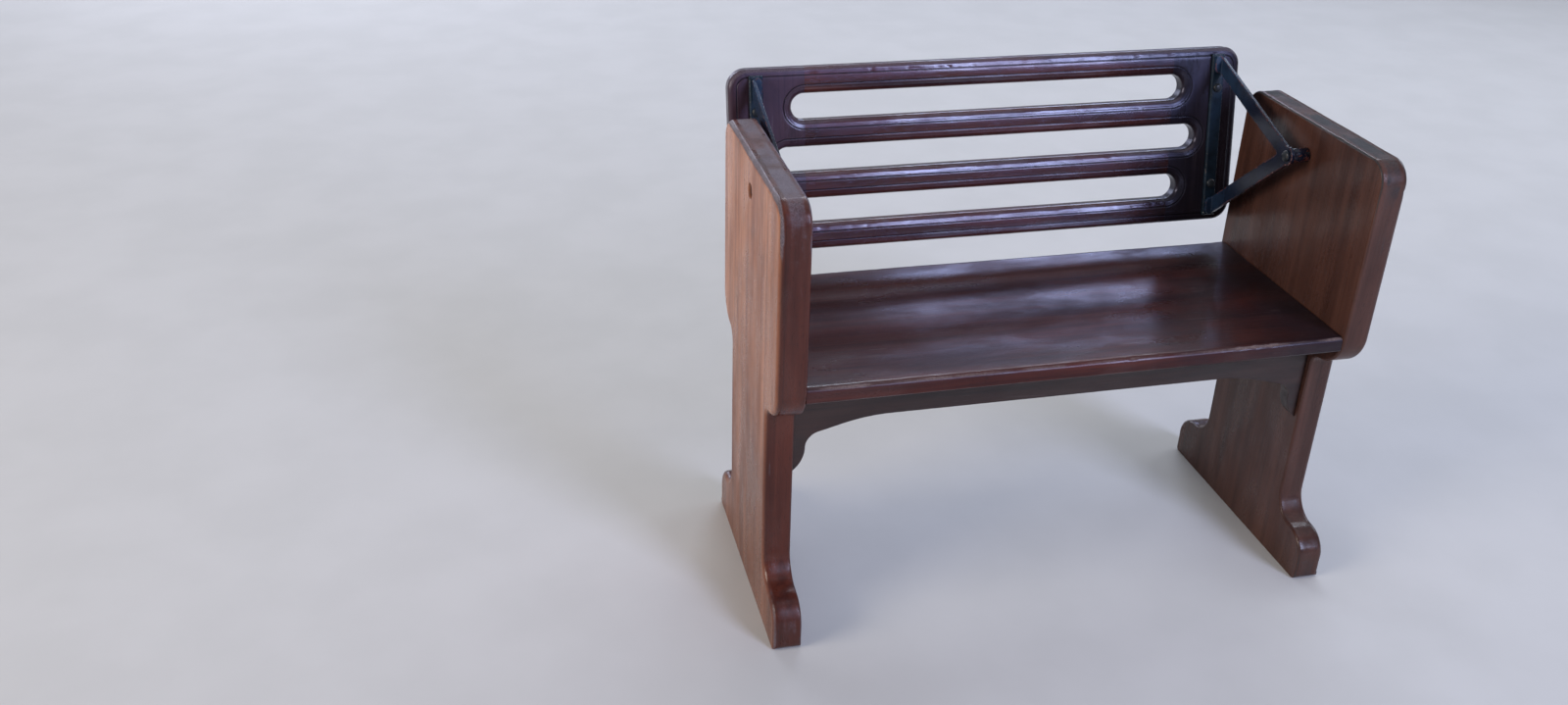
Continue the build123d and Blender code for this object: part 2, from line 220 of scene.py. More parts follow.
def finish_mesh(name, vertices, faces, smooth, worn, body, slot, replaced, material):
    """Puts a closed shell of faces into a mesh, merges shared points, turns the faces outward
    and stores the wear as an attribute that the finish reads."""
    mesh = bpy.data.meshes.new(name)
    mesh.from_pydata(vertices.tolist(), [], faces)
    mesh.polygons.foreach_set("use_smooth", smooth)
    mesh.attributes.new("worn", "FLOAT", "POINT").data.foreach_set("value", worn.astype(np.float32))
    shell = bmesh.new()
    shell.from_mesh(mesh)
    bmesh.ops.remove_doubles(shell, verts=shell.verts, dist=1e-6)
    bmesh.ops.recalc_face_normals(shell, faces=shell.faces)
    shell.to_mesh(mesh)
    shell.free()
    mesh.materials.append(material)
    piece = bpy.data.objects.new(name, mesh)
    bpy.context.scene.collection.objects.link(piece)
    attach(piece, body)
    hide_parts(*replaced)
    return piece


def quads_between(rows):
    """The faces between each row of point numbers and the next."""
    quads = np.stack([rows[:-1, :-1], rows[1:, :-1], rows[1:, 1:], rows[:-1, 1:]], -1)
    return quads.reshape(-1, 4).tolist()


def board(name, ribbons, closed, place, *fixing):
    """A board from the ribbons of its edges. The front and the back face fill the loops of the
    ribbons' first and last columns. Open ribbons follow each other round the board, and the
    sawn end between two of them is filled too; of closed ones the first is the outline. The
    faces of a straight bar, which has two ribbons, are strips of quads. fixing is the body, the
    slot, which is not used, the replaced nodes and the material."""
    rows, faces, offset = [], [], 0
    for _, worn in ribbons:
        index = offset + np.arange(worn.size).reshape(worn.shape)
        offset += worn.size
        faces += quads_between(np.vstack([index, index[:1]]) if closed else index)
        rows.append(index)
    smooth = [True] * len(faces)
    flat = np.concatenate([points.reshape(-1, 3) for points, _ in ribbons])
    worn = np.concatenate([worn.ravel() for _, worn in ribbons])
    if not closed:
        for this, following in zip(rows, rows[1:] + rows[:1]):
            faces.append(np.concatenate([this[-1], following[0][::-1]]).tolist())
    for column in (0, -1):
        loops = [index[:, column] for index in rows]
        if not closed and len(rows) == 2:
            faces += quads_between(np.stack([loops[0], loops[1][::-1]], -1))
            continue
        index = np.concatenate(loops)
        if not closed:
            loops = [index]
        corners = [[Vector((*flat[i, :2], 0)) for i in loop] for loop in loops]
        faces += [[int(index[i]) for i in triangle] for triangle in tessellate_polygon(corners)]
    smooth += [False] * (len(faces) - len(smooth))
    return finish_mesh(name, place(flat), faces, smooth, worn, *fixing)


def ogee(outer, inner, level, round_radius, cove_radius, up):
    """The two arcs of an ogee on the right-hand edge of a board, followed upward: from the
    vertical at outer over a round and a cove to the vertical at inner, or the other way."""
    swing = degrees(acos(1 - (outer - inner) / (round_radius + cove_radius)))
    rise = (round_radius + cove_radius) * sin(radians(swing))
    if up:
        belly = arc((outer - round_radius, level), round_radius, 0, swing)
        cove = arc((inner + cove_radius, level + rise), cove_radius, 180 + swing, 180)
        return [belly, cove], level + rise
    cove = arc((inner + cove_radius, level - rise), cove_radius, 180, 180 - swing)
    belly = arc((outer - round_radius, level), round_radius, -swing, 0)
    return [cove, belly], level - rise


board_low, board_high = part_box("end_board_aisle")
board_height = board_high.z
board_thickness = board_high.x - board_low.x
foot_half_width = board_high.y
pivot = Vector(frame["joints"][0]["pos_m"])

foot_curve, leg_bottom = ogee(
    foot_half_width, LEG_HALF_WIDTH, FOOT_HEIGHT, FOOT_ROUND, FOOT_COVE, True
)
shoulder_curve, leg_top = ogee(
    BOARD_HALF_WIDTH, LEG_HALF_WIDTH, SHOULDER_HEIGHT, SHOULDER_ROUND, SHOULDER_COVE, False
)
board_path = mirrored_on(run_together(
    straight((0, 0), (foot_half_width - TOE_RADIUS, 0), COARSE_STEP),
    arc((foot_half_width - TOE_RADIUS, TOE_RADIUS), TOE_RADIUS, -90, 0),
    straight((foot_half_width, TOE_RADIUS), (foot_half_width, FOOT_HEIGHT)),
    *foot_curve,
    straight((LEG_HALF_WIDTH, leg_bottom), (LEG_HALF_WIDTH, leg_top)),
    *shoulder_curve,
    straight((BOARD_HALF_WIDTH, SHOULDER_HEIGHT), (BOARD_HALF_WIDTH, board_height - TOP_CORNER)),
    arc((BOARD_HALF_WIDTH - TOP_CORNER, board_height - TOP_CORNER), TOP_CORNER, 0, 90, FINE_STEP),
    straight((BOARD_HALF_WIDTH - TOP_CORNER, board_height), (0, board_height)),
), axis=0)
pit_path = without_last(arc((0, pivot.z), PIT_RADIUS, 360, 0, FINE_STEP))
board_section = section_of_edge(board_thickness, OUTER_ROUND, INNER_ROUND, flat=0.6)
pit_floor = BOLT_HOLE_RADIUS - PIT_RADIUS
pit_section = np.array([
    (0.0016, 0, 0, 1, 0),
    (0.0006, 0, 0, 1, 0.5),
    (0, 0.0006, 1, 0, 0.3),
    (0, PIT_DEPTH, 1, 0, -0.8),
    (pit_floor, PIT_DEPTH, 0, 1, -0.6),
    (pit_floor, board_thickness, 1, 0, 0),
])


def board_rub(path):
    """The top of a board and its upper corners are rubbed most, then the toes of its foot."""
    height = path[0][:, 1]
    return 0.22 + 0.78 * ease(height, 0.60, 0.70) + 0.45 * ease(-height, -0.11, -0.03)


DIRT = (0.008, 0.007, 0.008)
# Near-black purple that the wood is mixed toward at the wall end: painted shade, with some grime.
SHADE_AND_GRIME = (0.011, 0.009, 0.012)


class Finish:
    """A node material in the making. Each method adds nodes and gives back an output."""

    def __init__(self, name, turn=(0, 0, 0)):
        self.material = bpy.data.materials.new(name)
        self.material.use_nodes = True
        self.tree = self.material.node_tree
        self.shader = self.tree.nodes["Principled BSDF"]
        self.place = self.add("TexCoord").outputs["Object"]
        turned = self.add("Mapping", {"Vector": self.place, "Rotation": turn})
        self.turned = turned.outputs["Vector"]

    def add(self, kind, sockets=(), **fields):
        part = self.tree.nodes.new("ShaderNode" + kind)
        for field, value in fields.items():
            setattr(part, field, value)
        for socket, value in dict(sockets).items():
            self.put(part.inputs[socket], value)
        return part

    def put(self, socket, value):
        """Links a socket to an output, or sets it to a number or a colour."""
        if isinstance(value, bpy.types.NodeSocket):
            self.tree.links.new(value, socket)
        elif socket.type == "RGBA" and len(value) == 3:
            socket.default_value = (*value, 1)
        else:
            socket.default_value = value

    def give(self, socket, value):
        """Gives one of the shader's sockets its value."""
        self.put(self.shader.inputs[socket], value)

    def along(self, axis):
        return self.add("SeparateXYZ", {0: self.place}).outputs[axis]

    def wear(self):
        return self.add("Attribute", attribute_name="worn").outputs["Fac"]

    def noise(self, vector, scale, detail=3.0, rough=0.5, distortion=0.0):
        return self.add("TexNoise", {
            "Vector": vector, "Scale": scale, "Detail": detail,
            "Roughness": rough, "Distortion": distortion,
        }).outputs["Fac"]

    def streaks(self, squeeze, *looks, tilt=(0, 0, 0)):
        """Noise on the turned coordinates, drawn out along the grain by a small squeeze."""
        drawn_out = {"Vector": self.turned, "Rotation": tilt, "Scale": (1, 1, squeeze)}
        return self.noise(self.add("Mapping", drawn_out).outputs["Vector"], *looks)

    def ramp(self, value, low, high, start=0.0, end=1.0):
        return self.add("MapRange", {
            "Value": value, "From Min": low, "From Max": high, "To Min": start, "To Max": end,
        }, interpolation_type="SMOOTHSTEP").outputs["Result"]

    def sum(self, first, second, way="ADD"):
        return self.add("Math", {0: first, 1: second}, operation=way).outputs[0]

    def product(self, first, second):
        return self.sum(first, second, "MULTIPLY")

    def blend(self, share, first, second):
        part = self.add("Mix", {"Factor": share}, data_type="RGBA")
        self.put(part.inputs[6], first)
        self.put(part.inputs[7], second)
        return part.outputs[2]

    def bump(self, height, strength, distance, below=None, invert=False):
        sockets = {"Height": height, "Strength": strength, "Distance": distance}
        part = self.add("Bump", sockets, invert=invert)
        if below:
            self.put(part.inputs["Normal"], below)
        return part.outputs[0]


def deeper(colour, share):
    return tuple(value * share for value in colour)


def varnished_wood(
    name, turn, dark, light, bare, varnish, worn_share=1.0, figure=1.0, outer=None, dulled=0.0,
    mirror=0.5, cast=(1, 1, 1), fibres=0.18, toward_wall_shade_and_grime=None,
):
    """Old varnished hardwood. Object coordinates are turned so that the grain runs along z,
    then drawn out: cloudy figure, long grain and short dark pores make the colour, and pores,
    thin scratches and ripples make the bump. Where the worn attribute is high, and noise lets
    it, the bare grey wood shows; where it is below zero, there is black dirt. outer is the two
    colours of a face bleached by the sun, which has lost its varnish, and the x where it lies;
    that face is painted lighter still, more so toward the top, as painted light from a side
    window. mirror is the specular level below the coat, and cast tints it: a blue cast is a
    painted reflection of blue sky. The last argument is the two places along the bench
    between which the wood is painted darker toward the wall end, as painted shade with some
    grime, and its share at the second; the coat thins there too."""
    wood = Finish(name, turn)
    face = shade_and_grime = 0.0
    clouds = wood.streaks(0.22, 8.0, 3.0, 0.6, 0.9)
    grain = wood.streaks(0.045, 42.0, 6.0, 0.62, 0.25)
    lines = wood.streaks(0.018, 260.0, 3.0, 0.6)
    pores = wood.ramp(wood.streaks(0.075, 900.0, 2.0, 0.6), 0.60, 0.72)
    middle, spread = 0.5 + 0.02 / figure, 0.16 / figure
    tone = wood.sum(wood.product(clouds, 0.45), wood.product(grain, 0.55))
    tone = wood.ramp(tone, middle - spread, middle + spread)
    colour = wood.blend(tone, dark, light)
    # The outer face is sun-faded and painted lighter still, more so toward the top: part fading,
    # part painted light from a side window.
    if outer:
        outer_dark, outer_light, outer_x = outer
        faded_and_sunlit = wood.blend(tone, outer_dark, outer_light)
        face = wood.ramp(wood.along("X"), outer_x + 0.0050, outer_x + 0.0005)
        patchy = wood.ramp(wood.noise(wood.turned, 5.0, 4.0, 0.65, 0.6), 0.25, 0.70, 0.72, 1.0)
        sunlit_toward_top = wood.ramp(wood.along("Z"), 0.0, 0.62, 0.35, 1.0)
        colour = wood.blend(wood.product(wood.product(face, patchy), sunlit_toward_top), colour, faded_and_sunlit)
    colour = wood.blend(wood.ramp(lines, 0.50, 0.78, 0.0, 0.45), colour, deeper(dark, 0.45))
    colour = wood.blend(wood.product(pores, 0.5), colour, deeper(dark, 0.25))
    # Painted shade: the wood is mixed toward near-black purple along x toward the wall end, with
    # some grime.
    if toward_wall_shade_and_grime:
        begin, end, most = toward_wall_shade_and_grime
        patches = wood.ramp(wood.noise(wood.turned, 9.0, 4.0, 0.6), 0.2, 0.8, -0.12, 0.12)
        shade_and_grime = wood.ramp(wood.sum(wood.along("X"), patches), begin, end, 0.0, most)
        colour = wood.blend(shade_and_grime, colour, SHADE_AND_GRIME)

    worn = wood.wear()
    broken = wood.streaks(0.3, 150.0, 5.0, 0.72)
    rubbed = wood.sum(wood.product(worn, 1.2), wood.product(broken, 0.55))
    rubbed = wood.product(wood.ramp(rubbed, 0.58, 1.15), worn_share)
    hair = wood.streaks(0.028, 75.0, 1.5, 0.4, tilt=(0.55, 0.35, 0))
    off_line = wood.sum(wood.sum(hair, 0.5, "SUBTRACT"), 0.0, "ABSOLUTE")
    where = wood.ramp(wood.noise(wood.turned, 16.0, 2.0), 0.54, 0.66)
    scratches = wood.product(wood.ramp(off_line, 0.010, 0.002), where)
    bare_share = wood.sum(rubbed, wood.product(scratches, 0.30), "MAXIMUM")
    speckle = wood.ramp(wood.noise(wood.turned, 620.0, 2.0, 0.6), 0.35, 0.65)
    colour = wood.blend(bare_share, colour, wood.blend(speckle, deeper(bare, 0.45), bare))
    stains = wood.ramp(wood.noise(wood.turned, 26.0, 5.0, 0.72), 0.55, 0.82, 0.0, 0.4)
    colour = wood.blend(wood.sum(wood.ramp(worn, -0.05, -0.6), stains, "MAXIMUM"), colour, DIRT)
    wood.give("Base Color", colour)

    smeared = wood.streaks(0.4, 14.0, 5.0, 0.66, 0.4)
    roughness = wood.ramp(smeared, 0.3, 0.7, 0.22 + dulled, 0.42 + dulled)
    wood.give("Roughness", wood.sum(roughness, wood.product(rubbed, 0.30)))
    coat = wood.ramp(rubbed, 0.1, 0.8, varnish, varnish * 0.15)
    coat = wood.product(coat, wood.ramp(smeared, 0.36, 0.60, 1.0, 0.35))
    # The coat thins on the sun-faded outer face and in the painted shade toward the wall end.
    if outer or toward_wall_shade_and_grime:
        lost = wood.product(wood.sum(face, shade_and_grime), 0.9 if outer else 0.5)
        coat = wood.product(coat, wood.sum(1.0, lost, "SUBTRACT"))
    wood.give("Coat Weight", coat)
    wood.give("Coat Roughness", 0.16 + dulled)
    wood.give("Coat IOR", 1.5)
    wood.give("Specular IOR Level", mirror)
    wood.give("Specular Tint", cast)

    uneven = wood.bump(wood.streaks(0.4, 26.0, 2.0), 0.30, 0.0012)
    fibrous = wood.bump(wood.streaks(0.03, 420.0, 3.0, 0.6), fibres, 0.0003, uneven)
    cuts = wood.sum(pores, scratches, "MAXIMUM")
    wood.give("Normal", wood.bump(cuts, 0.40, 0.0003, fibrous, invert=True))
    wood.give("Coat Normal", fibrous)
    return wood.material


UPRIGHT_GRAIN = (0, 0, 0)
# The aisle board's outer face is sun-faded and painted lighter, most toward the top, as painted
# light from a side window.
aisle_board_wood = varnished_wood(
    "aisle_board_wood", UPRIGHT_GRAIN, dark=(0.044, 0.009, 0.006), light=(0.145, 0.034, 0.018),
    bare=(0.195, 0.150, 0.165), varnish=0.45, figure=0.8, mirror=0.3,
    outer=((0.27, 0.088, 0.043), (0.72, 0.335, 0.185), board_low.x),
)
# The wall board's rubbed grey is far darker than the aisle board's: painted shade of the wall end.
wall_board_wood = varnished_wood(
    "wall_board_wood", UPRIGHT_GRAIN, dark=(0.046, 0.019, 0.014), light=(0.125, 0.053, 0.037),
    bare=(0.060, 0.055, 0.054), varnish=0.35, figure=0.7, mirror=0.2,
)

for name, outer_x, way, seed, wood in (
    ("end_board_aisle", board_low.x, 1, 11, aisle_board_wood),
    ("end_board_wall", solid_high.x, -1, 12, wall_board_wood),
):
    outline = worn_edge(
        board_path, board_section, board_rub(board_path), seed,
        run_out=0.08 + 0.92 * ease(board_path[0][:, 1], 0, TOE_RADIUS),
    )
    pit = worn_edge(pit_path, pit_section, 1.0, seed)
    board(
        name + "_worn", [outline, pit], True,
        lambda flat: flat[:, (2, 0, 1)] * (way, 1, 1) + (outer_x, 0, 0),
        "bench", "end_wood", [name], wood,
    )

# Seat
# One wide plank of the same wood, screwed down from below, its long edges rounded. Sitting has
# polished it and left it slightly hollow and uneven, which shows in what it mirrors.

seat_low, seat_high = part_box("seat_board")
SEAT_TOP_ROUND = 0.008
SEAT_BOTTOM_ROUND = 0.004
SEAT_HOLLOW = 0.0016
SEAT_END_EASE = 0.0012
SEAT_STATIONS = 236


def seat_section():
    """The closed section of the plank: rows of y and z with how exposed each place is, round
    from the middle of the underside."""
    low, high, half = seat_low.z, seat_high.z, seat_high.y
    quarter = np.radians(np.linspace(0, 90, ROUND_ROWS))
    rows = [(share * (half - SEAT_BOTTOM_ROUND), low, 0) for share in np.linspace(0, 0.999, 6)]
    for a in quarter:
        y = half - SEAT_BOTTOM_ROUND * (1 - sin(a))
        rows.append((y, low + SEAT_BOTTOM_ROUND * (1 - cos(a)), sin(2 * a) * 0.4))
    for a in quarter:
        y = half - SEAT_TOP_ROUND * (1 - cos(a))
        rows.append((y, high - SEAT_TOP_ROUND * (1 - sin(a)), sin(2 * a) ** 2))
    rows += [(y, high, 0) for y in np.linspace(half - SEAT_TOP_ROUND, 0, 46)[1:]]
    rows = np.array(rows)
    return np.concatenate([rows, rows[-2:0:-1] * (-1, 1, 1)])


def make_seat(material):
    """The section carried along x. The top sinks by two shallow hollows and by broad noise, the
    rounded edges by rubs and nicks, and both ends are eased where they meet the end boards."""
    section = seat_section()
    first, last = seat_low.x + 2 * SEAT_END_EASE, seat_high.x - 2 * SEAT_END_EASE
    end_steps = SEAT_END_EASE * np.array([0, 0.3, 1.0])
    stations = np.concatenate([
        seat_low.x + end_steps, np.linspace(first, last, SEAT_STATIONS),
        seat_high.x - end_steps[::-1],
    ])
    points = np.empty((len(stations), len(section), 3))
    points[..., 0] = stations[:, None]
    points[..., 1:] = section[None, :, :2]
    exposed = np.broadcast_to(section[:, 2], points.shape[:2])
    along = (points[..., 0] - seat_low.x) / (seat_high.x - seat_low.x)
    across = points[..., 1] / seat_high.y
    near_ends = ease(np.minimum(along, 1 - along), 0, 0.04)
    on_top = ease(points[..., 2], seat_high.z - 0.006, seat_high.z)
    hollows = (np.sin(2 * pi * along) ** 2) * (1 - across**2)
    broad = smooth_noise(points, 0.13, 31) * 0.6 + smooth_noise(points, 0.06, 32) * 0.25
    sunk = on_top * near_ends * SEAT_HOLLOW * (0.6 * hollows + 0.6 * broad)
    nick = ease(smooth_noise(points, 0.009, 33), 0.70, 0.95) * NICK_DEPTH
    nick = exposed * (nick + 0.0003 * broad)
    from_end = np.minimum(points[..., 0] - seat_low.x, seat_high.x - points[..., 0])
    eased = on_top * (1 - ease(from_end, 0, SEAT_END_EASE))
    points[..., 2] -= sunk + eased * SEAT_END_EASE
    points[..., 1] -= np.sign(points[..., 1]) * nick
    points[..., 2] -= np.sign(points[..., 2] - (seat_low.z + 0.012)) * nick * 0.7
    worn = exposed * (0.20 + 0.55 * smooth_noise(points, 0.03, 34))
    worn = np.clip(worn + nick * WEAR_SHOWN + eased * 0.8, 0, 1)
    count, columns = worn.shape
    index = np.arange(count * columns).reshape(count, columns)
    faces = quads_between(np.hstack([index, index[:, :1]]))
    smooth = [True] * len(faces) + [False, False]
    faces += [index[0].tolist(), index[-1].tolist()]
    return finish_mesh(
        "seat_board_worn", points.reshape(-1, 3), faces, smooth, worn.ravel(),
        "bench", "seat_wood", ["seat_board"], material,
    )


GRAIN_ALONG_X = (0, radians(90), 0)
# The seat is painted darker toward the wall end as painted shade, and its blue cast is a painted
# reflection of blue sky.
seat_wood = varnished_wood(
    "seat_wood", GRAIN_ALONG_X, dark=(0.030, 0.006, 0.004), light=(0.105, 0.023, 0.013),
    bare=(0.24, 0.165, 0.14), varnish=0.65, dulled=0.03, mirror=0.2,
    cast=(0.75, 0.75, 1.0), toward_wall_shade_and_grime=(0.45, 0.90, 0.8),
)
make_seat(seat_wood)

# Aprons, cleats and bearer
# The aprons are thin boards on edge under the seat, fretted at their ends into ogee brackets.
# The cleats and the bearer that carry the seat are plain sawn battens, never polished.

APRON_BOTTOM = 0.343
APRON_ARRIS = 0.0015
BRACKET_REACH = 0.020
BRACKET_BELLY = 0.040
BRACKET_COVE = 0.026
BRACKET_SLOPE = 15
BRACKET_RUN = 0.037
BRACKET_EASE = 0.300
CLEAT_ARRIS = 0.0008

apron_low, apron_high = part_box("apron_front")
apron_length = apron_high.x - apron_low.x
slope = radians(BRACKET_SLOPE)
ease_start = APRON_BOTTOM - BRACKET_EASE * (1 - cos(slope))
slope_start = ease_start - BRACKET_RUN * sin(slope)
belly_top = slope_start - BRACKET_COVE * cos(slope)
belly_radius = (BRACKET_REACH**2 + BRACKET_BELLY**2) / (2 * BRACKET_REACH)
belly_sweep = degrees(acos(1 - BRACKET_REACH / belly_radius))
slope_end_x = BRACKET_REACH + BRACKET_COVE * (1 - sin(slope)) + BRACKET_RUN * cos(slope)
ease_end_x = slope_end_x + BRACKET_EASE * sin(slope)
belly = arc((BRACKET_REACH - belly_radius, belly_top), belly_radius, -belly_sweep, 0)
cove = arc((BRACKET_REACH + BRACKET_COVE, belly_top), BRACKET_COVE, 180, 90 + BRACKET_SLOPE)
easing = arc((ease_end_x, APRON_BOTTOM - BRACKET_EASE), BRACKET_EASE, 90 + BRACKET_SLOPE, 90)
half_fret = run_together(
    belly, cove, straight(cove[0][-1], easing[0][0]), easing,
    straight((ease_end_x, APRON_BOTTOM), (apron_length / 2, APRON_BOTTOM), 2 * STEP),
)
fret = tuple(
    np.concatenate([row, start + row[-2::-1] * (-1, 1)])
    for row, start in zip(half_fret, ((apron_length, 0), (0, 0)))
)
apron_path = without_last(run_together(
    fret,
    straight((apron_length, apron_low.z), (apron_length, apron_high.z), COARSE_STEP),
    straight((apron_length, apron_high.z), (0, apron_high.z), 1.5 * COARSE_STEP),
    straight((0, apron_high.z), (0, apron_low.z), COARSE_STEP),
))


def apron_rub(path):
    """Boots and bags rub the lower edge. The top and the ends are hidden and stay as sawn."""
    return np.where(path[1][:, 1] > 0.2, 0.7, 0.0)


frame_wood = varnished_wood(
    "frame_wood", GRAIN_ALONG_X, dark=(0.014, 0.006, 0.005), light=(0.050, 0.020, 0.014),
    bare=(0.17, 0.12, 0.105), varnish=0.35, worn_share=0.8, dulled=0.10,
)
cleat_wood = varnished_wood(
    "cleat_wood", (radians(90), 0, 0), dark=(0.030, 0.015, 0.010), light=(0.095, 0.046, 0.030),
    bare=(0.22, 0.16, 0.13), varnish=0.0, dulled=0.30,
)
for name, seed in (("apron_front", 21), ("apron_rear", 22)):
    low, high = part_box(name)
    edge = section_of_edge(high.y - low.y, APRON_ARRIS, APRON_ARRIS, flat=0.5)
    board(
        name + "_fretted", [worn_edge(apron_path, edge, apron_rub(apron_path), seed)], True,
        lambda flat: flat[:, (0, 2, 1)] + (low.x, low.y, 0),
        "bench", "frame_wood", [name], frame_wood,
    )
for name, seed in (("cleat_aisle", 23), ("cleat_wall", 24), ("seat_bearer", 25)):
    low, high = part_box(name)
    size = high - low
    path = cornered_path([(0, 0), (size.y, 0), (size.y, size.z), (0, size.z)], 2 * FINE_STEP)
    edge = section_of_edge(size.x, CLEAT_ARRIS, CLEAT_ARRIS, flat=0.2)
    board(
        name + "_sawn", [worn_edge(path, edge, 0.6, seed)], True,
        lambda flat: flat[:, (2, 0, 1)] + tuple(low),
        "bench", "frame_wood", [name], cleat_wood,
    )

# Back: stiles and rails
# Two upright stiles and four rails of dark wood, tenoned together. Each slot between them is
# moulded round its edge with an ovolo and a fine step, and framed by a groove further out.
# Hands have worn the rails' upper edges, and their faces to a slight crown.

back_low_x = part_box("back_stile_aisle")[0].x
back_high_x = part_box("back_stile_wall")[1].x
back_length = back_high_x - back_low_x
SEAM_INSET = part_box("back_rail_1")[0].x - back_low_x
BACK_HALF_HEIGHT = 0.145
BACK_THICKNESS = 0.030
BACK_CORNER = 0.030
PIVOT_TO_BACK = 0.218
SLOT_RADIUS = 0.0205
SLOT_SPACING = 0.083
MIDDLE_SLOT_CENTRE = 0.0925
SLOT_FRONT_ROUND = 0.010
SLOT_REAR_ROUND = 0.005
SLOT_STEP = 0.0005
BACK_EDGE_ROUND = 0.008
SLOT_QUIRK = (0.013, 0.0015, 0.001)
BORDER_QUIRK = (0.012, 0.0015, 0.001)
CROWN_REACH = 0.020
CROWN_FALL = 6.5
STEP_WIDTH = 0.0006
STEP_FOOT = 0.0002
SEAM_HOLD = 0.0001
BACK_SEED = 41
BACK_BARE = (0.21, 0.165, 0.170)
# The back's reflections are tinted blue: a painted reflection of blue sky.
BACK_SKY_TINT = (0.66, 0.66, 1.0)
back_lean = radians((frame["joints"][0]["range_deg"][1] - 180) / 2)


def crown(inset):
    """How far the rubbed face has sunk at a distance from the edge: the square of the way from
    where the crown begins."""
    return CROWN_FALL * np.clip(CROWN_REACH - np.asarray(inset, float), 0, None) ** 2


def crowned_edge(front_round, back_round, flat, quirk, back_quirk=None, step=0.0):
    """The section of an edge of the back. The front face falls by the crown to a groove and on
    to a fine step, and a quarter of an ellipse, which starts at the crown's own slope, ends it.
    The rear is the plain section's."""
    plain = section_of_edge(BACK_THICKNESS, front_round, back_round, flat, quirk, back_quirk)
    face = [(inset, 0, 0, 1, 0) for inset in (CROWN_REACH, 0.0185, 0.0170)]
    groove, rear = plain[:GROOVE_ROWS], plain[GROOVE_ROWS + ROUND_ROWS:]
    front = np.concatenate([np.array(face), groove, [(front_round + STEP_WIDTH, 0, 0, 1, 0.35)]])
    front[:, 1] += crown(front[:, 0])
    begin = crown(front_round) + step
    first = degrees(np.arctan(2 * CROWN_FALL * (CROWN_REACH - front_round)))
    turn = np.radians(np.linspace(first, 90, 11))
    reach = (front_round - STEP_FOOT) / (1 - sin(turn[0]))
    fall = (front_round - begin) / cos(turn[0])
    rows = [
        (reach * (1 - sin(a)), front_round - fall * cos(a), sin(a), cos(a), sin(2 * a) ** 2)
        for a in turn
    ]
    return np.concatenate([front, np.array(rows), rear])


border_edge = crowned_edge(BACK_EDGE_ROUND, BACK_EDGE_ROUND, 0.7, BORDER_QUIRK, BORDER_QUIRK)
slot_edge = crowned_edge(SLOT_FRONT_ROUND, SLOT_REAR_ROUND, 0.1, SLOT_QUIRK, step=SLOT_STEP)


def hung_from(side, flat, front=PIVOT_TO_BACK):
    """Points (from that end of the back, up, depth below front), drawn upright about the pivot,
    turned by the lean of the back and set in place."""
    x = back_low_x + flat[:, 0] if side == "aisle" else back_high_x - flat[:, 0]
    y, z = front + flat[:, 2], flat[:, 1]
    lean_cos, lean_sin = cos(back_lean), sin(back_lean)
    return np.stack([x, y * lean_cos + z * lean_sin, pivot.z - y * lean_sin + z * lean_cos], -1)


def slot_end(height, centre):
    """The edge of a slot's round end, from the seam below it, round and back to the seam."""
    stretches = [arc((centre, height), SLOT_RADIUS, -90, -270, 0.0015)]
    if centre < SEAM_INSET - 1e-5:
        below, above = height - SLOT_RADIUS, height + SLOT_RADIUS
        stretches.insert(0, straight((SEAM_INSET, below), (centre, below)))
        stretches.append(straight((centre, above), (SEAM_INSET, above)))
    return run_together(*stretches)


stile_border = run_together(
    straight((SEAM_INSET, BACK_HALF_HEIGHT), (BACK_CORNER, BACK_HALF_HEIGHT)),
    arc((BACK_CORNER, BACK_HALF_HEIGHT - BACK_CORNER), BACK_CORNER, 90, 180, FINE_STEP),
    straight((0, BACK_HALF_HEIGHT - BACK_CORNER), (0, BACK_CORNER - BACK_HALF_HEIGHT)),
    arc((BACK_CORNER, BACK_CORNER - BACK_HALF_HEIGHT), BACK_CORNER, 180, 270, FINE_STEP),
    straight((BACK_CORNER, -BACK_HALF_HEIGHT), (SEAM_INSET, -BACK_HALF_HEIGHT)),
)


def back_rub(path):
    """The upper edge of the back is rubbed most, and a slot's lower edge more than its upper."""
    points, normals = path
    return 0.35 + 0.65 * ease(points[:, 1], 0.10, 0.145) + 0.35 * ease(-normals[:, 1], 0.3, 1)


def held_at_seams(path):
    """The path with one more point close to each end, where the rounding of the shading that
    the sawn end would cause comes to a stop."""
    points, normals = path
    ends = []
    for end, beside in ((0, 1), (-1, -2)):
        way = points[beside] - points[end]
        ends.append(points[end] + way * SEAM_HOLD / np.linalg.norm(way))
    return (
        np.concatenate([points[:1], ends[:1], points[1:-1], ends[1:], points[-1:]]),
        np.concatenate([normals[:1], normals[:1], normals[1:-1], normals[-1:], normals[-1:]]),
    )


def back_piece(name, edges, side, material):
    """A board of the back from its edges, each a path with its section."""
    about = back_length if side == "wall" else None
    ribbons = []
    for path, section in edges:
        path = held_at_seams(path)
        ribbons.append(worn_edge(path, section, back_rub(path), BACK_SEED, turned_about=about))
    return board(
        name + "_worn", ribbons, False, lambda flat: hung_from(side, flat), "back", "back_wood",
        [name], material,
    )


stile_looks = {  # dark and light wood, varnish; the wall stile is painted near black and given little varnish, as painted shade of the wall end
    "aisle": ((0.022, 0.009, 0.014), (0.070, 0.031, 0.040), 0.8),
    "wall": ((0.010, 0.008, 0.012), (0.028, 0.020, 0.026), 0.25),
}
for side in ("aisle", "wall"):
    dark, light, varnish = stile_looks[side]
    stile_wood = varnished_wood(
        "stile_wood_" + side, (back_lean, 0, 0), dark, light, bare=BACK_BARE, varnish=varnish,
        worn_share=0.45, figure=0.8, mirror=0.4, cast=BACK_SKY_TINT,
    )
    edges = [
        (stile_border, border_edge),
        (slot_end(-SLOT_SPACING, SEAM_INSET), slot_edge),
        (slot_end(0, MIDDLE_SLOT_CENTRE), slot_edge),
        (slot_end(SLOT_SPACING, SEAM_INSET), slot_edge),
    ]
    back_piece("back_stile_" + side, edges, side, stile_wood)
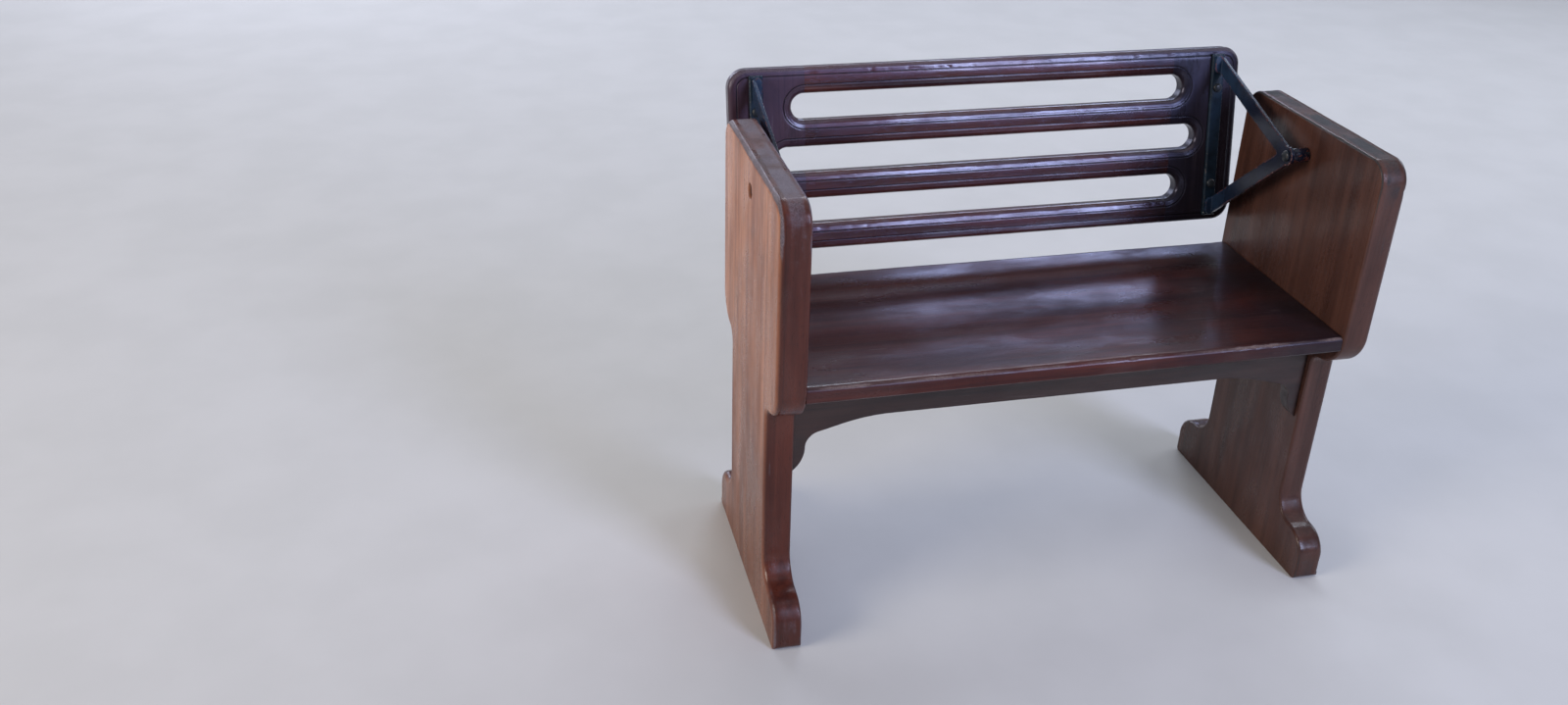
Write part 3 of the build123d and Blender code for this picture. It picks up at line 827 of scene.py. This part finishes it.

# The rails are painted darker toward the wall end as painted shade with some grime, and their blue
# cast is a painted reflection of blue sky.
rail_wood = varnished_wood(
    "rail_wood", GRAIN_ALONG_X, dark=(0.030, 0.007, 0.005), light=(0.125, 0.030, 0.017),
    bare=BACK_BARE, varnish=1.0, worn_share=0.35, dulled=-0.06, cast=BACK_SKY_TINT,
    fibres=0.30, toward_wall_shade_and_grime=(0.48, 0.88, 0.95),
)
far_seam = back_length - SEAM_INSET
rail_table = [  # upper edge, its section, lower edge, its section
    (BACK_HALF_HEIGHT, border_edge, SLOT_SPACING + SLOT_RADIUS, slot_edge),
    (SLOT_SPACING - SLOT_RADIUS, slot_edge, SLOT_RADIUS, slot_edge),
    (-SLOT_RADIUS, slot_edge, SLOT_RADIUS - SLOT_SPACING, slot_edge),
    (-SLOT_SPACING - SLOT_RADIUS, slot_edge, -BACK_HALF_HEIGHT, border_edge),
]
for number, (upper, upper_section, lower, lower_section) in enumerate(rail_table, start=1):
    edges = [
        (straight((far_seam, upper), (SEAM_INSET, upper)), upper_section),
        (straight((SEAM_INSET, lower), (far_seam, lower)), lower_section),
    ]
    back_piece(f"back_rail_{number}", edges, "aisle", rail_wood)

# Straps and their bolts
# A flat steel strap with chamfered edges is bolted down each end of the back. It is painted
# blue-black, and each bolt has a domed head on the strap and another behind the back.

LATHE_STEPS = 48
STRAP_THICKNESS = 0.006
STRAP_CHAMFER = 0.002
STRAP_REAR_EASE = 0.0003
STRAP_HALF_LENGTH = 0.135
STRAP_BOLT_HEIGHT = 0.080
BOLT_SHANK_RADIUS = 0.004
BOLT_HEAD_RADIUS = 0.0075
BOLT_HEAD_HEIGHT = 0.0045

strap_low, strap_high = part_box("strap_aisle")
strap_inset = strap_low.x - back_low_x
strap_width = strap_high.x - strap_low.x
strap_face = PIVOT_TO_BACK - STRAP_THICKNESS

strap_section = np.array([
    (STRAP_CHAMFER * 1.8, 0, 0, 1, 0),
    (STRAP_CHAMFER * 1.12, 0, 0, 1, 0.5),
    (STRAP_CHAMFER * 0.90, STRAP_CHAMFER * 0.10, 0.7, 0.7, 1.0),
    (STRAP_CHAMFER * 0.10, STRAP_CHAMFER * 0.90, 0.7, 0.7, 1.0),
    (0, STRAP_CHAMFER * 1.12, 1, 0, 0.4),
    (0, STRAP_THICKNESS - STRAP_REAR_EASE, 1, 0, -0.3),
    (STRAP_REAR_EASE, STRAP_THICKNESS, 0, -1, -0.5),
])
strap_path = cornered_path([
    (0, -STRAP_HALF_LENGTH), (strap_width, -STRAP_HALF_LENGTH),
    (strap_width, STRAP_HALF_LENGTH), (0, STRAP_HALF_LENGTH),
], STEP)


OILY_DIRT = (0.006, 0.006, 0.006)


def painted_steel(name, paint, rust, bright, roughness, chipped=1.0, painted_reflection=None):
    """Old paint on steel: faint brush marks, chips through to rust where noise is high or an
    edge is worn, and a little bright metal in the middle of the chips. faded is the lighter blue
    that the paint is painted toward away from the pivot, a painted reflection of window light on
    the legs and feet, and the distances where that begins and ends."""
    steel = Finish(name)
    worn = steel.wear()
    pitted = steel.noise(steel.place, 130.0, 5.0, 0.75)
    pushed = steel.sum(steel.product(worn, 0.55 * chipped), pitted)
    chips = steel.ramp(pushed, 0.72, 0.84)
    inner = steel.ramp(pushed, 0.98, 1.12)
    brushed = steel.noise(steel.place, 45.0, 3.0, 0.6)
    rusted = steel.blend(steel.ramp(pitted, 0.4, 0.62), deeper(rust, 0.35), rust)
    colour = steel.blend(steel.ramp(brushed, 0.3, 0.7), paint, deeper(paint, 1.9))
    # Painted reflection: the paint turns lighter blue away from the pivot, toward the feet.
    if painted_reflection:
        painted_reflection_colour, near, far = painted_reflection
        patchy = steel.ramp(brushed, 0.25, 0.6, 0.5, 1.0)
        share = steel.product(steel.ramp(steel.along("Y"), near, far), patchy)
        colour = steel.blend(share, colour, painted_reflection_colour)
    colour = steel.blend(chips, colour, rusted)
    colour = steel.blend(inner, colour, bright)
    colour = steel.blend(steel.ramp(worn, -0.05, -0.5), colour, OILY_DIRT)
    steel.give("Base Color", colour)
    steel.give("Roughness", steel.ramp(chips, 0, 1, roughness, 0.62))
    steel.give("Metallic", steel.ramp(inner, 0, 1, 0.0, 0.7))
    steel.give("Specular IOR Level", 0.35)
    coarse = steel.bump(steel.noise(steel.place, 95.0, 4.0, 0.6), 0.35, 0.0006)
    steel.give("Normal", steel.bump(chips, 0.5, 0.0003, coarse, invert=True))
    return steel.material


def turned_piece(name, rows, place, seed, sides, closed, *fixing):
    """A lathe surface: point (i, j) is at row i's length along the axis, at its radius, turned
    by angle j. Rows are along, radius, exposed. With sides, the radius grows toward the corners
    of a regular polygon, but not past the row's fourth number. Open rows end on the axis."""
    around = np.linspace(0, 2 * pi, LATHE_STEPS, endpoint=False)
    along, radius, exposed, *most = np.array(rows, float).T[..., None] * np.ones(len(around))
    if sides:
        from_flat = (around + pi / sides) % (2 * pi / sides) - pi / sides
        radius = np.minimum(radius / np.cos(from_flat), most[0])
    points = np.stack([along, radius * np.cos(around), radius * np.sin(around)], -1)
    worn = exposed * (0.5 + smooth_noise(points, 0.006, seed))
    index = np.arange(radius.size).reshape(radius.shape)
    ring = np.hstack([index, index[:, :1]])
    faces = quads_between(np.vstack([ring, ring[:1]]) if closed else ring)
    if not closed:
        faces += [index[0].tolist(), index[-1].tolist()]
    smooth = [sides is None] * len(faces)
    vertices = place(points.reshape(-1, 3))
    return finish_mesh(name, vertices, faces, smooth, worn.ravel(), *fixing)


def domed_head(start, way, radius, height):
    """Rows of a bolt head from its pole to its rim: a flat crown, a quarter of an ellipse down
    to a short upright rim. way is 1 where the pole lies further along the axis than start."""
    rows = [(start + way * height, radius * 0.02, 0.3), (start + way * height, radius * 0.35, 0.4)]
    for a in np.radians(np.linspace(0, 90, 8)):
        out = radius * (0.35 + 0.65 * sin(a))
        rows.append((start + way * height * (0.2 + 0.8 * cos(a)), out, 0.2 + 0.6 * sin(2 * a)))
    rows.append((start, radius, -0.4))
    return rows


strap_paint = painted_steel(
    "strap_paint", (0.0070, 0.015, 0.026), (0.07, 0.06, 0.06), (0.26, 0.32, 0.40), 0.26, 0.9
)
bolt_metal = painted_steel(
    "bolt_metal", (0.015, 0.018, 0.022), (0.060, 0.042, 0.034), (0.34, 0.34, 0.34), 0.26, 0.5
)
strap_bolt_end = STRAP_THICKNESS + BACK_THICKNESS
strap_bolt_rows = [
    *domed_head(0, -1, BOLT_HEAD_RADIUS, BOLT_HEAD_HEIGHT),
    (0, BOLT_SHANK_RADIUS, 0), (strap_bolt_end, BOLT_SHANK_RADIUS, 0),
    *domed_head(strap_bolt_end, 1, BOLT_HEAD_RADIUS, BOLT_HEAD_HEIGHT)[::-1],
]
for side, seed in (("aisle", 61), ("wall", 62)):
    board(
        f"strap_{side}_painted", [worn_edge(strap_path, strap_section, 0.35, seed)], True,
        lambda flat: hung_from(side, flat + (strap_inset, 0, 0), strap_face),
        "back", "arm_steel", [f"strap_{side}"], strap_paint,
    )
    for place, level in (("upper", STRAP_BOLT_HEIGHT), ("lower", -STRAP_BOLT_HEIGHT)):
        turned_piece(
            f"strap_bolt_{side}_{place}", strap_bolt_rows,
            lambda turned: hung_from(
                side, turned[:, (1, 2, 0)] + (strap_inset + strap_width / 2, level, 0), strap_face
            ),
            seed, None, False, "back", "bolt_steel", [f"strap_bolts_{side}"], bolt_metal,
        )

# Arms
# A flat steel bar is forged to a V: its point is an eye on the pivot, and each leg ends in a
# foot that is turned at a right angle and lies flat on the strap. The blue-black paint has
# chipped to rust along the arrises, most of all near the eye, and is painted lighter blue
# toward the feet as a painted reflection of window light.

ARM_THICKNESS = 0.006
ARM_ROOT_HEIGHT = 0.115
ARM_HALF_WIDTH = 0.0125
ARM_ARRIS = 0.0010
ARM_STEP = 0.0015
EYE_RADIUS = 0.015
EYE_HOLE_RADIUS = 0.00606
CROTCH_FILLET = 0.003
FOOT_REACH = 0.009
FOOT_CORNER = 0.0085
BEND_OUTER_RADIUS = 0.008

arm_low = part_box("arm_aisle")[0]
arm_inset = arm_low.x - back_low_x
leg_slope = ARM_ROOT_HEIGHT / (strap_face - ARM_THICKNESS)
leg_angle = np.arctan(leg_slope)
leg_end_rise = ARM_HALF_WIDTH / cos(leg_angle)
rise_at_strap = leg_slope * strap_face
bend_start = strap_face - BEND_OUTER_RADIUS
bend_run = (BEND_OUTER_RADIUS - ARM_THICKNESS / 2) * pi / 2
foot_end = bend_start + bend_run + FOOT_REACH


def arm_outline():
    """The V laid out flat, from the back of the eye round its lower leg to the crotch, and
    mirrored. Leg edges are lines at half the bar's width from a line through the pivot."""
    eye_end = 270 - degrees(leg_angle) + degrees(acos(ARM_HALF_WIDTH / EYE_RADIUS))
    eye = arc((0, 0), EYE_RADIUS, 180, eye_end, ARM_STEP)
    low, high = -rise_at_strap - leg_end_rise, -rise_at_strap + leg_end_rise
    corner_x = foot_end - FOOT_CORNER
    crotch_sweep = 90 - degrees(leg_angle)
    crotch_centre = (leg_end_rise / leg_slope + CROTCH_FILLET / sin(leg_angle), 0)
    crotch = arc(crotch_centre, CROTCH_FILLET, 180 + crotch_sweep, 180, 0.0006)
    return mirrored_on(run_together(
        eye,
        straight(eye[0][-1], (strap_face, low)),
        straight((strap_face, low), (corner_x, low), ARM_STEP),
        arc((corner_x, low + FOOT_CORNER), FOOT_CORNER, -90, 0, 0.001),
        straight((foot_end, low + FOOT_CORNER), (foot_end, high - FOOT_CORNER), FINE_STEP),
        arc((corner_x, high - FOOT_CORNER), FOOT_CORNER, 0, 90, 0.001),
        straight((corner_x, high), (strap_face, high), ARM_STEP),
        straight((strap_face, high), crotch[0][0]),
        crotch,
    ), axis=1)


def bent_arm(flat):
    """Turns the feet of the flat V inward. Up to the bend, a point (out, up, depth) stays; in
    it, out becomes an angle about the bend's centre; past it, out runs along the strap."""
    out, up, depth = flat.T
    angle = np.clip((out - bend_start) / bend_run, 0, 1) * (pi / 2)
    beyond = np.clip(out - bend_start - bend_run, 0, None)
    before = np.minimum(out, bend_start)
    radius = BEND_OUTER_RADIUS - depth
    inward = BEND_OUTER_RADIUS - radius * np.cos(angle) + beyond
    return np.stack([inward, before + radius * np.sin(angle), up], -1)


def make_arm(side, seed, material):
    """The outline's ribbon and its flat faces, cut across the bend so that they can follow it,
    then bent and hung in place."""
    path = arm_outline()
    near_eye = 1 - ease(path[0][:, 0], 0.02, 0.12)
    below = ease(-path[0][:, 1], -0.02, 0.02)
    rub = 0.62 + near_eye * (0.15 + 0.35 * below)
    section = section_of_edge(ARM_THICKNESS, ARM_ARRIS, ARM_ARRIS, flat=0.25)
    chipped = [(0.0024, 0, 0, 1, 0), (0.0016, 0, 0, 1, 0.8)]
    chipped_behind = [(inset, ARM_THICKNESS, 0, -1, rub) for inset, _, _, _, rub in chipped[::-1]]
    section = np.concatenate([np.array(chipped, float), section, np.array(chipped_behind, float)])
    hole_path = without_last(arc((0, 0), EYE_HOLE_RADIUS, 360, 0, ARM_STEP))
    hole_section = np.array([(0, 0, 0, 1, 0), (0, ARM_THICKNESS, 0, -1, 0)], float)
    outline = worn_edge(path, section, rub, seed)
    hole = worn_edge(hole_path, hole_section, 0.0, seed)
    piece = board(
        f"arm_{side}_forged", [outline, hole], True, lambda flat: flat,
        "back", "arm_steel", [f"arm_{side}"], material,
    )
    shell = bmesh.new()
    shell.from_mesh(piece.data)
    for cut in np.linspace(bend_start, bend_start + bend_run, 7):
        whole = [*shell.verts, *shell.edges, *shell.faces]
        bmesh.ops.bisect_plane(shell, geom=whole, plane_co=(cut, 0, 0), plane_no=(1, 0, 0))
    flat = np.array([vertex.co for vertex in shell.verts])
    inward, out, up = bent_arm(flat).T
    x = arm_inset + inward
    placed = hung_from(side, np.stack([x, up, out], -1), 0)
    for vertex, spot in zip(shell.verts, placed):
        vertex.co = spot
    bmesh.ops.recalc_face_normals(shell, faces=shell.faces)
    shell.to_mesh(piece.data)
    shell.free()
    return piece


# The arm's paint turns lighter blue toward the feet: a painted reflection of window light.
arm_paint = painted_steel(
    "arm_paint", (0.0045, 0.0065, 0.0160), (0.200, 0.050, 0.034), (0.50, 0.42, 0.42), 0.26,
    painted_reflection=((0.020, 0.042, 0.085), 0.09, 0.21),
)
for side, seed in (("aisle", 71), ("wall", 72)):
    make_arm(side, seed, arm_paint)

# Pivots
# A steel bolt carries each arm. Its domed head is on the arm's inner side, a round spacer keeps
# the arm off the end board, and a hexagon nut holds the bolt's threaded end in the pit.

THREAD_PITCH = 0.00175
THREAD_DEPTH = 0.0009
THREAD_LENGTH = 0.012
THREAD_CHAMFER = 0.0008
THREAD_ROWS = 56
PIVOT_SHANK_RADIUS = 0.006
PIVOT_HEAD_RADIUS = 0.009
PIVOT_HEAD_HEIGHT = 0.0045
NUT_HALF_FLATS = 0.009
NUT_CHAMFER = 0.0008
SPACER_CHAMFER = 0.001
spacer_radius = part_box("pivot_spacer_aisle")[1].y


def pivot_bolt_rows(length):
    """The bolt from its head's pole to its threaded end. The thread's radius follows a cosine
    of the length, and its end is chamfered."""
    length -= PIVOT_HEAD_HEIGHT
    rows = domed_head(0, -1, PIVOT_HEAD_RADIUS, PIVOT_HEAD_HEIGHT)
    rows.append((0, PIVOT_SHANK_RADIUS, 0))
    thread = np.linspace(length - THREAD_LENGTH, length - THREAD_CHAMFER, THREAD_ROWS)
    rows.append((thread[0], PIVOT_SHANK_RADIUS, 0))
    for along in thread:
        dip = 1 - cos(2 * pi * (along - thread[0]) / THREAD_PITCH)
        rows.append((along, PIVOT_SHANK_RADIUS - THREAD_DEPTH * 0.5 * dip, -0.3 * dip))
    return rows + [
        (length, PIVOT_SHANK_RADIUS - 2 * THREAD_CHAMFER, 0.4), (length, 0.0002, 0.2)
    ]


def nut_rows(length):
    """Half the flats' distance at each row, with corners cut off by a cone at both faces."""
    corner, cone = NUT_HALF_FLATS / cos(pi / 6), NUT_HALF_FLATS * 0.97
    hole = BOLT_HOLE_RADIUS
    return [
        (0, hole, 0, hole), (0, cone, 0.6, cone),
        (NUT_CHAMFER, NUT_HALF_FLATS, 0.5, corner),
        (length - NUT_CHAMFER, NUT_HALF_FLATS, 0.3, corner),
        (length, cone, 0.2, cone), (length, hole, 0, hole),
    ]


def spacer_rows(length):
    """A short tube with its two outer arrises cut off."""
    inner, outer, cut = BOLT_HOLE_RADIUS, spacer_radius, SPACER_CHAMFER
    return [
        (0, inner, 0), (0, outer - cut, 0.4), (cut, outer, 0.4),
        (length - cut, outer, 0.4), (length, outer - cut, 0.4), (length, inner, 0),
    ]


pivot_table = [  # piece, its rows, how it is made, slot, finish, sides, closed, start of its rows
    ("bolt", pivot_bolt_rows, "turned", "bolt_steel", bolt_metal, None, False, PIVOT_HEAD_HEIGHT),
    ("nut", nut_rows, "hexagon", "bolt_steel", bolt_metal, 6, True, 0.0),
    ("spacer", spacer_rows, "turned", "arm_steel", arm_paint, None, True, 0.0),
]
for side, way, seed in (("aisle", -1, 81), ("wall", 1, 82)):
    for piece, rows, made, slot, metal, sides, closed, row_start in pivot_table:
        node = f"pivot_{piece}_{side}"
        low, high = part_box(node)
        start = (low.x if way > 0 else high.x) + way * row_start
        turned_piece(
            f"{node}_{made}", rows(high.x - low.x),
            lambda turned: turned * (way, 1, 1) + (start, 0, pivot.z),
            seed, sides, closed, "bench", slot, [node], metal,
        )

# Floor, light and camera
# A pale floor, soft lamps like tall windows, and the camera where the photographer stood,
# turned toward the bench.

FLOOR_REACH = 14.0
floor_mesh = bpy.data.meshes.new("floor")
corners = np.array([(-1, -1, 0), (1, -1, 0), (1, 1, 0), (-1, 1, 0)]) * FLOOR_REACH
floor_mesh.from_pydata(corners.tolist(), [], [(0, 1, 2, 3)])
floor = bpy.data.objects.new("floor", floor_mesh)
bpy.context.scene.collection.objects.link(floor)
floor_finish = Finish("floor_paint")
cloudy = floor_finish.ramp(floor_finish.noise(floor_finish.place, 5.0, 4.0), 0.3, 0.7)
pale = floor_finish.blend(cloudy, (0.610, 0.590, 0.550), (0.640, 0.618, 0.578))
floor_finish.give("Base Color", pale)
floor_finish.give("Roughness", 0.85)
floor_mesh.materials.append(floor_finish.material)

world = bpy.data.worlds.new("soft_sky")
bpy.context.scene.world = world
world.use_nodes = True
sky = world.node_tree.nodes["Background"]
sky.inputs["Color"].default_value = (0.72, 0.77, 0.90, 1)
sky.inputs["Strength"].default_value = 0.26

BENCH_MIDDLE = Vector((0.43, 0.02, 0.40))


def window_lamp(name, place, width, height, brightness, colour):
    """A soft rectangular lamp that faces the bench. Its power is pi times its area times the
    brightness of its face."""
    lamp = bpy.data.lights.new(name, "AREA")
    lamp.shape = "RECTANGLE"
    lamp.size = width
    lamp.size_y = height
    lamp.energy = pi * width * height * brightness
    lamp.color = colour
    holder = bpy.data.objects.new(name, lamp)
    holder.location = place
    holder.rotation_euler = (BENCH_MIDDLE - Vector(place)).to_track_quat("-Z", "Y").to_euler()
    bpy.context.scene.collection.objects.link(holder)


lamp_table = [  # name, place, width, height, brightness of its face, colour
    ("left_window", (-5.5, -1.3, 2.8), 3.1, 2.7, 8.0, (1.0, 0.91, 0.81)),
    ("front_window", (2.98, -4.93, 3.3), 1.6, 3.4, 15.5, (0.58, 0.66, 1.0)),
    ("right_window", (4.9, 1.5, 2.6), 2.3, 1.4, 4.0, (0.78, 0.85, 1.0)),
    ("end_window", (-1.25, 5.1, 2.1), 2.3, 2.9, 3.5, (0.74, 0.80, 1.0)),
    ("far_window", (2.8, 5.0, 2.95), 1.6, 0.9, 5.5, (0.50, 0.58, 1.0)),
    ("high_window", (2.36, 4.4, 4.5), 4.3, 0.9, 9.0, (0.80, 0.88, 1.0)),
    ("roof_light", (1.8, 0.1, 4.85), 3.6, 3.6, 0.6, (0.84, 0.89, 1.0)),
]
for row in lamp_table:
    window_lamp(*row)

PHOTOGRAPHER = (-0.412, -1.788, 1.400)
CAMERA_YAW = 14.0
CAMERA_PITCH = 28.5
CAMERA_ROLL = 1.57
SENSOR_WIDTH = 36.0
CAMERA_LENS = 31.9
camera_data = bpy.data.cameras.new("camera")
camera_data.sensor_width = SENSOR_WIDTH
camera_data.lens = CAMERA_LENS
camera = bpy.data.objects.new("camera", camera_data)
camera.location = PHOTOGRAPHER
camera.rotation_euler = (radians(90 - CAMERA_PITCH), 0, radians(-CAMERA_YAW))
camera.rotation_euler.rotate_axis("Z", radians(CAMERA_ROLL))
bpy.context.scene.collection.objects.link(camera)
bpy.context.scene.camera = camera
bpy.context.scene.view_settings.view_transform = "Standard"
